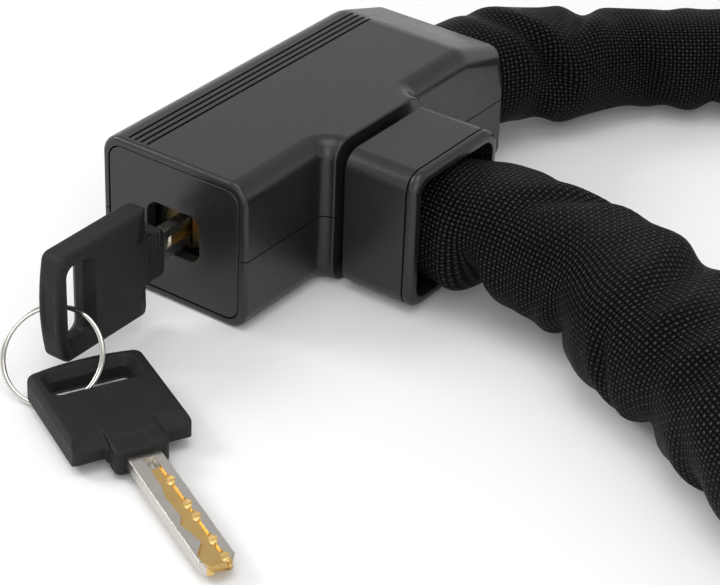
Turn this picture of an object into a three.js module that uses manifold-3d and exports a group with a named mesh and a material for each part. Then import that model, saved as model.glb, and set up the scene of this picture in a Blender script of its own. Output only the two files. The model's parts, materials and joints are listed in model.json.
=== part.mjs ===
// Chain lock: a two-shell plastic housing with a keyed cylinder, a plug-in collar that carries one end
// of a sleeved chain, and two keys on a split ring.
//
// Millimetres, +Z up. The origin is the centre of the housing's bottom face. The keyhole faces -Y, the
// collar plugs into a socket on the +X side, and the chain's fixed end leaves through the rear (+Y).

import * as THREE from "three";
import { mergeVertices } from "three/addons/utils/BufferGeometryUtils.js";
import Module from "manifold-3d";

const wasm = await Module();
wasm.setup();

// ---------------------------------------------------------------- driving dimensions

const GAP = 0.3; // between pieces that touch

const FINE = 8; // steps in a large visible rounding

// housing
const WIDTH = 42.4;
const LENGTH = 105.8;
const HEIGHT = 38;
const WALL = 2;
const EDGE_R = 5; // long edges
const END_R = 1.2; // front and rear edges
const SEAM_Z = 18.6; // where the two shells meet
const CHAMFER_RUN = 17.4; // slope at the rear of the top face
const CHAMFER_DROP = 5.4;
const RIDGE_R = 14; // between the flat top and the slope
const TAIL_R = 2.4; // between the slope and the rear face
const FRONT_Y = -LENGTH / 2;
const REAR_Y = LENGTH / 2;

// front plate and keyhole window
const PLATE_MARGIN = 2.2;
const PLATE_T = 3.2;
const PLATE_R = 3.6;
const WINDOW_W = 15.4;
const WINDOW_H = 12;
const WINDOW_R = 3.2;

// lock cylinder, on an axis along Y
const AXIS_Z = 18.8;
const CYL_FRONT = FRONT_Y + 4.7;
const CYL_REAR = -16;
const CYL_R = 9.4;
const PLUG_R = 6;
const PLUG_REAR = -12.4;
const KEYWAY_W = 3.9;
const KEYWAY_H = 8.8;
const WAFER_COUNT = 5;
const WAFER_PITCH = 4.6;

// collar, on an axis along X
const COLLAR_Y = -6.3;
const COLLAR_X0 = 26.8;
const COLLAR_X1 = 46.6;
const COLLAR_DEPTH = 33.8; // along Y
const COLLAR_Z0 = 1;
const COLLAR_Z1 = 36.4;
const COLLAR_R = 4.6;
const COLLAR_WALL = 2.4;
const COLLAR_Z = (COLLAR_Z0 + COLLAR_Z1) / 2;
const RIM_T = 2.6;
const RIM_EDGE_R = 1.5;
const BOSS_X = 24.3;
const BOSS_DEPTH = COLLAR_DEPTH + 1; // along Y
const BOSS_EDGE_R = 0.5;
const FILLET_R = 2.6; // hollow corner between the boss and the housing's side
const TANG_W = 14;
const TANG_T = 6;
const TANG_TIP_X = 8.5;
const BOLT_X = 15;

// keys: bow, neck and blade along their own +X, blade width along their own Y
const BOW_L = 31;
const BOW_SHIFT = 1; // of the bow's middle from the key's origin, towards the blade
const BOW_W = 26;
const BOW_T = 6.8;
const NECK_L = 6;
const NECK_W = 12.4;
const NECK_T = 6;
const BLADE_L = 39.4;
const BLADE_W = 7.7;
const BLADE_T = 3;
const SLOT_W = 6;
const SLOT_L = 18.4;
const SLOT_X = -7.3; // from the middle of the bow
const SLOT_FLARE = 1.9;
const KEY1_TRAVEL = 6.3; // from rest to the neck meeting the plate
const RING_R = 11.3;
const RING_WIRE = 0.6;

// chain and sleeve
const LINK_WIRE = 5.8;
const LINK_INNER_L = 32.7;
const LINK_INNER_W = 9;
const LINK_COUNT = 29; // odd, so that the first and the last stand upright in the tang and the anchor
const SLEEVE_D = 34;
const SLEEVE_WALL = 1.4;

// ---------------------------------------------------------------- materials

function plain(color, roughness, metalness) {
  return new THREE.MeshStandardMaterial({ color, roughness, metalness });
}

const BLACK_PLASTIC = plain(0x161616, 0.35, 0);
const KEY_PLASTIC = plain(0x1c1c1c, 0.6, 0);
const STEEL = plain(0x9a9a98, 0.35, 1);
const BRASS = plain(0xb08d46, 0.35, 1);
const NICKEL = plain(0xc9c6bd, 0.25, 1);
const FABRIC = plain(0x101010, 0.9, 0);

// ---------------------------------------------------------------- solids

function toSolid(geometry) {
  const bare = new THREE.BufferGeometry();
  bare.setAttribute("position", geometry.getAttribute("position").clone());
  if (geometry.index) bare.setIndex(geometry.index.clone());
  const merged = mergeVertices(bare, 1e-4);
  const triangles = [];
  for (let i = 0; i < merged.index.count; i += 3) {
    const [a, b, c] = [0, 1, 2].map((k) => merged.index.getX(i + k));
    if (a !== b && b !== c && c !== a) triangles.push(a, b, c);
  }
  return new wasm.Manifold(
    new wasm.Mesh({
      numProp: 3,
      vertProperties: new Float32Array(merged.getAttribute("position").array),
      triVerts: new Uint32Array(triangles),
    }),
  );
}

function toGeometry(solid) {
  const mesh = solid.getMesh();
  const geometry = new THREE.BufferGeometry();
  geometry.setAttribute("position", new THREE.BufferAttribute(new Float32Array(mesh.vertProperties), 3));
  geometry.setIndex(new THREE.BufferAttribute(new Uint32Array(mesh.triVerts), 1));
  geometry.computeVertexNormals();
  return geometry;
}

function roundedRect(width, height, radius) {
  const w = width / 2;
  const h = height / 2;
  const shape = new THREE.Shape();
  shape.moveTo(-w + radius, -h);
  shape.lineTo(w - radius, -h);
  shape.absarc(w - radius, -h + radius, radius, -Math.PI / 2, 0, false);
  shape.lineTo(w, h - radius);
  shape.absarc(w - radius, h - radius, radius, 0, Math.PI / 2, false);
  shape.lineTo(-w + radius, h);
  shape.absarc(-w + radius, h - radius, radius, Math.PI / 2, Math.PI, false);
  shape.lineTo(-w, -h + radius);
  shape.absarc(-w + radius, -h + radius, radius, Math.PI, 1.5 * Math.PI, false);
  return shape;
}

function extrude(shape, depth, segments = 4) {
  return new THREE.ExtrudeGeometry(shape, { depth, bevelEnabled: false, curveSegments: segments });
}

// A rounded bar, its corner radius given, with the edges of both ends rounded by `edge`.
function roundedBar(width, height, radius, length, edge) {
  const shape = roundedRect(width - 2 * edge, height - 2 * edge, radius - edge);
  const bevel = { bevelSize: edge, bevelThickness: edge, bevelSegments: 3 };
  const body = { depth: length - 2 * edge, curveSegments: FINE };
  return new THREE.ExtrudeGeometry(shape, { ...body, ...bevel }).translate(0, 0, edge);
}

// A box given by its lowest and highest corners.
function block(x0, y0, z0, x1, y1, z1) {
  const geometry = new THREE.BoxGeometry(x1 - x0, y1 - y0, z1 - z0);
  return toSolid(geometry.translate((x0 + x1) / 2, (y0 + y1) / 2, (z0 + z1) / 2));
}

// A shape drawn in X and Z, extruded from y0 to y1 about the point (x, z).
function alongY(shape, y0, y1, x = 0, z = 0, segments = 4) {
  const geometry = extrude(shape, y1 - y0, segments).rotateX(Math.PI / 2);
  return toSolid(geometry.translate(x, y1, z));
}

// A shape drawn in Y and Z, extruded from x0 to x1 about the point (y, z).
function alongX(shape, x0, x1, y = 0, z = 0, segments = 4) {
  const geometry = extrude(shape, x1 - x0, segments).rotateX(Math.PI / 2).rotateZ(Math.PI / 2);
  return toSolid(geometry.translate(x0, y, z));
}

function alongZ(shape, z0, z1, x = 0, y = 0, segments = 4) {
  return toSolid(extrude(shape, z1 - z0, segments).translate(x, y, z0));
}

function disc(radius, length, sides) {
  return new THREE.CylinderGeometry(radius, radius, length, sides);
}

function rodX(radius, x0, x1, y, z, sides = 16) {
  return toSolid(disc(radius, x1 - x0, sides).rotateZ(Math.PI / 2).translate((x0 + x1) / 2, y, z));
}

function rodY(radius, y0, y1, x, z, sides = 24) {
  return toSolid(disc(radius, y1 - y0, sides).translate(x, (y0 + y1) / 2, z));
}

function rodZ(radius, z0, z1, x, y, sides = 16) {
  return toSolid(disc(radius, z1 - z0, sides).rotateX(Math.PI / 2).translate(x, y, (z0 + z1) / 2));
}

const lock = new THREE.Group();

function addTo(group, name, geometry, material) {
  const mesh = new THREE.Mesh(geometry, material);
  mesh.name = name;
  group.add(mesh);
  return mesh;
}

function add(name, solid, material) {
  return addTo(lock, name, toGeometry(solid), material);
}

// ---------------------------------------------------------------- housing

// A large rounded bar, tilted down towards the rear, whose top face touches an arc at the tilt's angle.
// The arc's centre is given in Y and Z.
function tiltedBar(angle, arcY, arcZ, radius) {
  const tall = 3 * HEIGHT;
  const clear = 0.02; // keeps its sides off the housing's own
  const bar = extrude(roundedRect(WIDTH + clear, tall, EDGE_R), 2 * LENGTH, FINE);
  bar.rotateX(Math.PI / 2).translate(0, LENGTH, -tall / 2).rotateX(-angle);
  return toSolid(bar.translate(0, arcY + radius * Math.sin(angle), arcZ + radius * Math.cos(angle)));
}

// The flat top bends over a soft ridge into the slope, and the slope over a tighter one into the rear.
function bendRear(solid) {
  const slope = Math.atan2(CHAMFER_DROP, CHAMFER_RUN);
  const ridgeY = REAR_Y - CHAMFER_RUN - RIDGE_R * Math.tan(slope / 2);
  const tailY = REAR_Y - TAIL_R;
  const slopeZ = HEIGHT - CHAMFER_DROP + TAIL_R * Math.tan(slope);
  const tailZ = slopeZ - TAIL_R / Math.cos(slope);
  const steps = 4;
  let bent = solid;
  for (let k = 1; k <= steps; k += 1) {
    bent = bent.intersect(tiltedBar((slope * k) / steps, ridgeY, HEIGHT - RIDGE_R, RIDGE_R));
  }
  for (let k = 1; k < steps; k += 1) {
    const angle = slope + ((Math.PI / 2 - slope) * k) / steps;
    bent = bent.intersect(tiltedBar(angle, tailY, tailZ, TAIL_R));
  }
  return bent;
}

// The hollow corner on one side of the boss (-1 front, 1 rear): a block less a spool, whose waist is the
// fillet and whose flared ends carry the long edges' rounding round the corner.
function bossFillet(end) {
  const wide = FILLET_R + EDGE_R;
  const half = [new THREE.Vector2(0, -1), new THREE.Vector2(wide, -1)];
  for (let k = 0; k <= FINE; k += 1) {
    const turn = (k * Math.PI) / 2 / FINE;
    half.push(new THREE.Vector2(wide - EDGE_R * Math.sin(turn), EDGE_R * (1 - Math.cos(turn))));
  }
  const mirrored = half.map((p) => new THREE.Vector2(p.x, HEIGHT - p.y)).reverse();
  const spool = new THREE.LatheGeometry([...half, ...mirrored], 6 * FINE).rotateX(Math.PI / 2);
  const faceY = COLLAR_Y + (end * BOSS_DEPTH) / 2;
  const axisX = WIDTH / 2 + FILLET_R;
  const axisY = faceY + end * FILLET_R;
  const [y0, y1] = [axisY, faceY - end * EDGE_R].sort((a, b) => a - b);
  const corner = block(WIDTH / 2 - EDGE_R, y0, 0, axisX, y1, HEIGHT);
  return corner.subtract(toSolid(spool.translate(axisX, axisY, 0)));
}

// The housing's outside: a rounded bar that bends down at the rear, joined to the boss round the socket.
function housingOutside() {
  const mid = HEIGHT / 2;
  const bar = roundedBar(WIDTH, HEIGHT, EDGE_R, LENGTH, END_R);
  bar.rotateX(Math.PI / 2).translate(0, REAR_Y, mid);
  const bossStart = 5;
  const boss = roundedBar(BOSS_DEPTH, HEIGHT, EDGE_R, BOSS_X - bossStart, BOSS_EDGE_R)
    .rotateX(Math.PI / 2)
    .rotateZ(Math.PI / 2)
    .translate(bossStart, COLLAR_Y, mid);
  return bendRear(toSolid(bar)).add(toSolid(boss)).add(bossFillet(-1)).add(bossFillet(1));
}

// The room inside the walls.
function housingInside() {
  const mid = HEIGHT / 2;
  const height = HEIGHT - 2 * WALL;
  const bar = roundedRect(WIDTH - 2 * WALL, height, EDGE_R - WALL);
  const boss = roundedRect(BOSS_DEPTH - 2 * WALL, height, EDGE_R - WALL);
  return alongY(bar, FRONT_Y + WALL, REAR_Y - WALL, 0, mid)
    .intersect(sideOutline(WALL))
    .add(alongX(boss, 0, BOSS_X - WALL, COLLAR_Y, mid));
}

// The housing's outline seen from the side, drawn in by `inset`.
function sideOutline(inset) {
  const slope = new THREE.Shape();
  slope.moveTo(FRONT_Y, inset);
  slope.lineTo(REAR_Y, inset);
  slope.lineTo(REAR_Y, HEIGHT - CHAMFER_DROP - inset);
  slope.lineTo(REAR_Y - CHAMFER_RUN, HEIGHT - inset);
  slope.lineTo(FRONT_Y, HEIGHT - inset);
  return alongX(slope, -WIDTH / 2, WIDTH / 2);
}

function grooves() {
  const count = 4;
  const first = -14.4;
  const spacing = 1.77;
  const width = 0.7;
  const depth = 0.6;
  let cut = null;
  for (let i = 0; i < count; i += 1) {
    const x = first + i * spacing;
    const y1 = REAR_Y - CHAMFER_RUN;
    const groove = block(x - width / 2, FRONT_Y + 1.8, HEIGHT - depth, x + width / 2, y1, HEIGHT + 1);
    cut = cut ? cut.add(groove) : groove;
  }
  return cut;
}

const SCREWS = [
  [-9.5, -40],
  [9.5, -24],
  [-11, 4],
  [11, 24],
];
const SCREW_HEAD_R = 3;
const SCREW_R = 1.5;

function makeHousing() {
  const platePocket = roundedRect(
    WIDTH - 2 * PLATE_MARGIN + 2 * GAP,
    HEIGHT - 2 * PLATE_MARGIN + 2 * GAP,
    PLATE_R + GAP,
  );
  const plateY1 = FRONT_Y + PLATE_T;
  let shell = housingOutside().subtract(housingInside()).subtract(grooves());
  shell = shell.subtract(alongY(platePocket, FRONT_Y - 1, plateY1 + GAP, 0, HEIGHT / 2, FINE));
  shell = shell.subtract(block(-15, REAR_Y - 7, 4, 15, REAR_Y + 1, 30)); // the chain's way out
  const socket = roundedRect(28.4, 28.4, 3);
  shell = shell.subtract(alongX(socket, BOSS_X - WALL - 1, BOSS_X + 1, COLLAR_Y, COLLAR_Z));
  for (const [x, y] of SCREWS) {
    shell = shell.subtract(rodZ(SCREW_HEAD_R + GAP, -1, 1.2, x, y, 12));
    shell = shell.subtract(rodZ(SCREW_R + GAP, 0, WALL + 1, x, y, 10));
  }
  const far = 100;
  const above = block(-far, -far, SEAM_Z + GAP / 2, far, far, far);
  const below = block(-far, -far, -far, far, far, SEAM_Z - GAP / 2);
  add("upper_shell", shell.intersect(above), BLACK_PLASTIC);
  add("lower_shell", shell.intersect(below), BLACK_PLASTIC);

  const plateShape = roundedRect(WIDTH - 2 * PLATE_MARGIN, HEIGHT - 2 * PLATE_MARGIN, PLATE_R);
  const window = roundedRect(WINDOW_W, WINDOW_H, WINDOW_R);
  const plate = alongY(plateShape, FRONT_Y, plateY1, 0, HEIGHT / 2, FINE);
  const opening = alongY(window, FRONT_Y - 1, plateY1 + 1, 0, HEIGHT / 2, FINE);
  add("front_plate", plate.subtract(opening), BLACK_PLASTIC);
}

// ---------------------------------------------------------------- lock works

const CASE_HALF_W = 12.5;
const CASE_Z0 = 4;
const CASE_Z1 = 32;
const BLOCK_REAR = 34;
const PIN_OFFSET = 4; // cam pin from the plug's axis
const LAST_LINK_Y = 34;
const ANCHOR_Y = LAST_LINK_Y - LINK_INNER_L / 2 + 1.9 + GAP;

function makeCylinder() {
  let shell = block(-CASE_HALF_W, CYL_FRONT + 1, CASE_Z0, CASE_HALF_W, CYL_REAR, CASE_Z1);
  shell = shell.subtract(rodY(CYL_R + GAP, CYL_FRONT, CYL_REAR + 1, 0, AXIS_Z));
  for (const [x, y] of SCREWS.slice(0, 2)) {
    shell = shell.subtract(rodZ(SCREW_R + GAP, 0, 9, x, y, 10));
  }
  add("lock_case", shell, STEEL);

  const body = rodY(CYL_R, CYL_FRONT, CYL_REAR, 0, AXIS_Z);
  add("cylinder_body", body.subtract(rodY(PLUG_R + GAP, CYL_FRONT - 1, CYL_REAR + 1, 0, AXIS_Z)), STEEL);

  const hw = KEYWAY_W / 2;
  const hh = KEYWAY_H / 2;
  let plug = rodY(PLUG_R, CYL_FRONT, PLUG_REAR, 0, AXIS_Z);
  plug = plug.subtract(block(-hw, CYL_FRONT - 1, AXIS_Z - hh, hw, PLUG_REAR - 1, AXIS_Z + hh));
  const clipY = CYL_REAR + 0.6;
  const groove = rodY(PLUG_R + 1, clipY, clipY + 1.4, 0, AXIS_Z);
  plug = plug.subtract(groove.subtract(rodY(PLUG_R - 0.9, clipY - 1, clipY + 3, 0, AXIS_Z)));
  const slotHalf = 2.95;
  const waferY = CYL_FRONT + 5;
  for (let i = 0; i < WAFER_COUNT; i += 1) {
    const y = waferY + i * WAFER_PITCH;
    const slot = block(-slotHalf, y - 0.8, AXIS_Z - 7, slotHalf, y + 0.8, AXIS_Z + 7);
    plug = plug.subtract(slot);
    const plate = block(-slotHalf + GAP, y - 0.5, AXIS_Z - 5.2, slotHalf - GAP, y + 0.5, AXIS_Z + 5.2);
    const hole = block(-1.8, y - 1, AXIS_Z - 4.15, 1.8, y + 1, AXIS_Z + 4.15);
    add(`wafer_${i + 1}`, plate.subtract(hole), BRASS);
  }
  add("cylinder_plug", plug, BRASS);

  const clipInner = rodY(PLUG_R - 0.6, clipY - 1, clipY + 3, 0, AXIS_Z);
  const clip = rodY(PLUG_R + 2, clipY + 0.2, clipY + 1.2, 0, AXIS_Z).subtract(clipInner);
  const mouth = block(-4, clipY - 1, AXIS_Z - 9, 4, clipY + 3, AXIS_Z);
  add("plug_clip", clip.subtract(mouth), STEEL);

  const camY = PLUG_REAR + GAP;
  const pinZ = AXIS_Z - PIN_OFFSET;
  const cam = rodY(PLUG_R, camY, camY + 2.2, 0, AXIS_Z).add(rodY(1.2, camY + 2, camY + 6.8, 0, pinZ, 12));
  add("tail_cam", cam, STEEL);
}

// The bolt: a plate with a slot that the cam's pin lifts, and a post that rises into the tang.
function makeBolt() {
  const y0 = -9.4;
  const y1 = -5.2;
  const pinZ = AXIS_Z - PIN_OFFSET;
  let bolt = block(-8, y0, 7, 8.1, y1, 20);
  bolt = bolt.add(block(0, y0, 7, BOLT_X + 3, y1, 11));
  bolt = bolt.add(block(BOLT_X - 3, COLLAR_Y - 3, 7, BOLT_X + 3, COLLAR_Y + 3, 15.3));
  bolt = bolt.subtract(block(-6, y0 - 1, pinZ - 2.5, 6, y1 + 1, pinZ + 2.5));
  add("lock_bolt", bolt, STEEL);

  const x1 = WIDTH / 2 - WALL - 2 * GAP;
  let frame = block(-14, PLUG_REAR - 1.6, CASE_Z0, x1, BLOCK_REAR, CASE_Z1);
  frame = frame.subtract(block(-9, PLUG_REAR - 3, 6.2, x1 + 1, 1.4, 26));
  frame = frame.subtract(block(-4, 10, 6, 4, BLOCK_REAR + 1, 31));
  frame = frame.subtract(rodX(2.2, -15, 15, ANCHOR_Y, AXIS_Z));
  for (const [x, y] of SCREWS.slice(2)) {
    frame = frame.subtract(rodZ(SCREW_R + GAP, 0, 9, x, y, 10));
  }
  add("bolt_block", frame, STEEL);
  add("anchor_pin", rodX(1.9, -13.5, 13.5, ANCHOR_Y, AXIS_Z), STEEL);
}

function makeScrews() {
  SCREWS.forEach(([x, y], i) => {
    const head = rodZ(SCREW_HEAD_R, 0.2, 0.9, x, y, 12);
    const shank = rodZ(SCREW_R, 0.5, 8.5, x, y, 10);
    const drive = block(x - 1, y - 1, 0, x + 1, y + 1, 0.6);
    add(`housing_screw_${i + 1}`, head.add(shank).subtract(drive), STEEL);
  });
}

// ---------------------------------------------------------------- collar and tang

function collarSection(inset) {
  const height = COLLAR_Z1 - COLLAR_Z0 - 2 * inset;
  return roundedRect(COLLAR_DEPTH - 2 * inset, height, COLLAR_R - inset * 0.6);
}

function makeCollar() {
  const rimX = COLLAR_X1 - RIM_T;
  const floorX = COLLAR_X0 + 5;
  const tangSlot = block(
    BOSS_X - 4,
    COLLAR_Y - TANG_W / 2 - GAP,
    AXIS_Z - TANG_T / 2 - GAP,
    floorX + 1,
    COLLAR_Y + TANG_W / 2 + GAP,
    AXIS_Z + TANG_T / 2 + GAP,
  );
  const cavity = collarSection(COLLAR_WALL);
  let body = alongX(collarSection(0), COLLAR_X0, rimX - GAP, COLLAR_Y, COLLAR_Z, FINE);
  body = body.add(alongX(roundedRect(27, 27, 2.5), BOSS_X - 3, COLLAR_X0 + 1, COLLAR_Y, COLLAR_Z));
  body = body.subtract(alongX(cavity, floorX, COLLAR_X1 + 1, COLLAR_Y, COLLAR_Z, FINE));
  const pinX = 29.3;
  body = body.subtract(tangSlot).subtract(rodZ(2.1, 0, AXIS_Z, pinX, COLLAR_Y));
  body = body.subtract(rodZ(2.1, AXIS_Z, COLLAR_Z1 - 3, pinX, COLLAR_Y));
  add("collar_body", body, BLACK_PLASTIC);

  const rimHeight = COLLAR_Z1 - COLLAR_Z0;
  const rimBar = roundedBar(COLLAR_DEPTH, rimHeight, COLLAR_R, 3 * RIM_T, RIM_EDGE_R);
  rimBar.rotateX(Math.PI / 2).rotateZ(Math.PI / 2).translate(COLLAR_X1 - 3 * RIM_T, COLLAR_Y, COLLAR_Z);
  const nose = block(rimX, COLLAR_Y - COLLAR_DEPTH, 0, COLLAR_X1 + 1, COLLAR_Y + COLLAR_DEPTH, HEIGHT);
  const rimOpening = alongX(cavity, rimX - 1, COLLAR_X1 + 1, COLLAR_Y, COLLAR_Z, FINE);
  add("collar_rim", toSolid(rimBar).intersect(nose).subtract(rimOpening), BLACK_PLASTIC);

  let tang = block(
    TANG_TIP_X,
    COLLAR_Y - TANG_W / 2,
    AXIS_Z - TANG_T / 2,
    39,
    COLLAR_Y + TANG_W / 2,
    AXIS_Z + TANG_T / 2,
  );
  tang = tang.add(rodZ(TANG_W / 2, AXIS_Z - TANG_T / 2, AXIS_Z + TANG_T / 2, 39, COLLAR_Y, 24));
  tang = tang.subtract(rodZ(4.2, 0, HEIGHT, 38.4, COLLAR_Y, 20));
  tang = tang.subtract(rodZ(2.1, 0, HEIGHT, pinX, COLLAR_Y));
  const hole = 3.5;
  tang = tang.subtract(block(BOLT_X - hole, COLLAR_Y - hole, 0, BOLT_X + hole, COLLAR_Y + hole, HEIGHT));
  add("collar_tang", tang, STEEL);
  add("tang_pin", rodZ(1.8, COLLAR_Z0 + 0.6, COLLAR_Z1 - 3.4, pinX, COLLAR_Y), STEEL);
}

// ---------------------------------------------------------------- keys and ring

function bowSolid() {
  const half = BOW_T / 2;
  const bevel = 1.6;
  const slab = (length, width, thick, radius, x) => {
    const shape = roundedRect(length - 2 * bevel, width - 2 * bevel, radius);
    const edges = { bevelSize: bevel, bevelThickness: bevel, bevelSegments: 1, curveSegments: 3 };
    const geometry = new THREE.ExtrudeGeometry(shape, { depth: thick - 2 * bevel, ...edges });
    return toSolid(geometry.translate(x, 0, -thick / 2 + bevel));
  };
  let bow = slab(BOW_L, BOW_W, BOW_T, 2.4, BOW_SHIFT);
  bow = bow.add(slab(NECK_L + 4, NECK_W, NECK_T, 1, BOW_L / 2 + NECK_L / 2 - 2));
  // the ring's slot, widened in two steps towards each face
  const cut = (grow, radius, z0, z1) => {
    const shape = roundedRect(SLOT_W + grow, SLOT_L + grow, radius);
    bow = bow.subtract(alongZ(shape, z0, z1, SLOT_X, 0, 2));
  };
  cut(0, 2, -half - 1, half + 1);
  [1, 2].forEach((step) => {
    const z = half - SLOT_FLARE + (step * SLOT_FLARE) / 2 - SLOT_FLARE / 2;
    cut(step * SLOT_FLARE, 2 + step / 2, z, half + 1);
    cut(step * SLOT_FLARE, 2 + step / 2, -half - 1, -z);
  });
  const root = BOW_L / 2 + NECK_L - 5;
  const pocketW = BLADE_W / 2 + GAP;
  const pocketT = BLADE_T / 2 + GAP;
  return bow.subtract(block(root, -pocketW, -pocketT, root + 30, pocketW, pocketT));
}

function bladeSolid() {
  const root = BOW_L / 2 + NECK_L - 5 + GAP;
  const tip = BOW_L / 2 + NECK_L + BLADE_L;
  const h = BLADE_W / 2;
  const shape = new THREE.Shape();
  shape.moveTo(root, -h);
  shape.lineTo(tip - 2.4, -h);
  shape.lineTo(tip, -h + 2.4);
  shape.lineTo(tip, h - 2.4);
  shape.lineTo(tip - 2.4, h);
  shape.lineTo(root, h);
  let blade = alongZ(shape, -BLADE_T / 2, BLADE_T / 2);
  // a wandering milled track on both faces
  const start = BOW_L / 2 + NECK_L + 1.5;
  const track = new THREE.Shape();
  const points = 13;
  const centre = (i) => 0.9 * Math.sin(i * 1.9) + 0.3 * Math.sin(i * 0.9);
  const reach = (i) => start + (i * (BLADE_L + 1)) / (points - 1);
  track.moveTo(reach(0), centre(0) - 1.5);
  for (let i = 1; i < points; i += 1) track.lineTo(reach(i), centre(i) - 1.5);
  for (let i = points - 1; i >= 0; i -= 1) track.lineTo(reach(i), centre(i) + 1.5);
  const depth = 0.8;
  blade = blade.subtract(alongZ(track, BLADE_T / 2 - depth, BLADE_T));
  return blade.subtract(alongZ(track, -BLADE_T, -BLADE_T / 2 + depth));
}

function addKey(number, group) {
  addTo(group, `key_${number}_bow`, toGeometry(bowSolid()), KEY_PLASTIC);
  addTo(group, `key_${number}_blade`, toGeometry(bladeSolid()), NICKEL);
  lock.add(group);
}

// Key 1 stands on edge in the keyway; key 2 lies flat beside it.
const KEY1_NECK_Y = FRONT_Y - KEY1_TRAVEL;
const KEY2_ANGLE = THREE.MathUtils.degToRad(-26.8);
const KEY2_TILT = THREE.MathUtils.degToRad(1.3); // blade tip down on the bench, bow raised by the ring
const KEY2_CENTRE = new THREE.Vector3(20.2, -98.9, 4.6);
const RING_CENTRE = new THREE.Vector3(2.5, -97, 8.6);
const RING_NORMAL = new THREE.Vector3(-0.24, 0.64, -0.7).normalize();

function makeKeys() {
  const key1 = new THREE.Group();
  key1.position.set(0, KEY1_NECK_Y - NECK_L - BOW_L / 2, AXIS_Z);
  key1.setRotationFromMatrix(
    new THREE.Matrix4().makeBasis(
      new THREE.Vector3(0, 1, 0),
      new THREE.Vector3(0, 0, 1),
      new THREE.Vector3(1, 0, 0),
    ),
  );
  addKey(1, key1);
  const key2 = new THREE.Group();
  key2.position.copy(KEY2_CENTRE);
  key2.rotation.set(0, KEY2_TILT, KEY2_ANGLE, "ZYX");
  addKey(2, key2);

  const ring = addTo(lock, "key_ring", new THREE.TorusGeometry(RING_R, RING_WIRE, 6, 32), NICKEL);
  ring.position.copy(RING_CENTRE);
  ring.quaternion.setFromUnitVectors(new THREE.Vector3(0, 0, 1), RING_NORMAL);
}

// ---------------------------------------------------------------- chain and sleeve

// The chain's centre line on the bench, from the tang, round the loop, to the anchor in the housing.
const CHAIN_Z = SLEEVE_D / 2 + 0.4;
const ROUTE = [
  [47, -6.3], [64, -6.3], [76, -6.8], [90, -9], [103, -13], [116, -19], [130, -27], [146, -36],
  [163, -44], [182, -50.5], [203, -54.5], [226, -55.5], [250, -52], [274, -44], [297, -31], [317, -13],
  [332, 9], [341, 34], [343, 61], [338, 88], [326, 114], [308, 137], [285, 155], [259, 168],
  [231, 177], [203, 179.5], [176, 177.5], [150, 170.5], [125, 160], [100, 147.5], [76, 134], [58, 123.5],
  [43.5, 113.5], [32.5, 103], [23.8, 91.5], [16.2, 79], [9.6, 66.5],
];
const REAR_STUB = [[4.4, 56.5], [0.9, 46.5], [0, LAST_LINK_Y]];
const LINK_DROP = 1; // from one link to the next, as the chain settles towards the bench
const DROP_LINKS = 5;
const CUT = 2; // route points, counted from the rear, that stay with the housing
const OPEN_LINK = 26; // left out, so that the collar's end of the chain can draw away from the housing's

function curve(points) {
  return new THREE.CatmullRomCurve3(points.map(([x, y]) => new THREE.Vector3(x, y, CHAIN_Z)));
}

function sleeveGeometry(points, steps) {
  const sides = 10;
  const ring = (radius) => {
    const list = [];
    for (let i = 0; i < sides; i += 1) {
      const angle = ((i + 0.5) * 2 * Math.PI) / sides;
      list.push(new THREE.Vector2(radius * Math.cos(angle), radius * Math.sin(angle)));
    }
    return list;
  };
  const shape = new THREE.Shape(ring(SLEEVE_D / 2));
  shape.holes.push(new THREE.Path(ring(SLEEVE_D / 2 - SLEEVE_WALL).reverse()));
  return new THREE.ExtrudeGeometry(shape, { steps, bevelEnabled: false, extrudePath: curve(points) });
}

function makeSleeve() {
  const cutAt = ROUTE.length - CUT;
  const [a, b] = [ROUTE[cutAt - 1], ROUTE[cutAt]];
  const middle = [(a[0] + b[0]) / 2, (a[1] + b[1]) / 2];
  const span = Math.hypot(b[0] - a[0], b[1] - a[1]);
  const step = [((b[0] - a[0]) / span) * 0.3, ((b[1] - a[1]) / span) * 0.3];
  const main = [...ROUTE.slice(0, cutAt), [middle[0] - step[0], middle[1] - step[1]]];
  const rear = [[middle[0] + step[0], middle[1] + step[1]], ...ROUTE.slice(cutAt), [7.4, 62.2]];
  addTo(lock, "sleeve_main", sleeveGeometry(main, 46), FABRIC);
  addTo(lock, "sleeve_rear", sleeveGeometry(rear, 4), FABRIC);
}

function linkGeometry() {
  const reach = (LINK_INNER_L - LINK_INNER_W) / 2;
  const radius = (LINK_INNER_W + LINK_WIRE) / 2;
  const outline = [];
  const bend = 5;
  for (const side of [1, -1]) {
    for (let i = 0; i <= bend; i += 1) {
      const turn = (-side * Math.PI) / 2 + (i * Math.PI) / bend;
      outline.push([side * reach + radius * Math.cos(turn), radius * Math.sin(turn)]);
    }
  }
  const sides = 6;
  const positions = [];
  const index = [];
  outline.forEach(([x, y], i) => {
    const before = outline[(i + outline.length - 1) % outline.length];
    const after = outline[(i + 1) % outline.length];
    const tangent = new THREE.Vector2(after[0] - before[0], after[1] - before[1]).normalize();
    for (let k = 0; k < sides; k += 1) {
      const angle = ((k + 0.5) * 2 * Math.PI) / sides;
      const out = (LINK_WIRE / 2) * Math.cos(angle);
      positions.push(x + tangent.y * out, y - tangent.x * out, (LINK_WIRE / 2) * Math.sin(angle));
      const a = i * sides + k;
      const b = i * sides + ((k + 1) % sides);
      const c = ((i + 1) % outline.length) * sides + k;
      const d = ((i + 1) % outline.length) * sides + ((k + 1) % sides);
      index.push(a, c, b, b, c, d);
    }
  });
  const geometry = new THREE.BufferGeometry();
  geometry.setAttribute("position", new THREE.Float32BufferAttribute(positions, 3));
  geometry.setIndex(index);
  return geometry;
}

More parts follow.
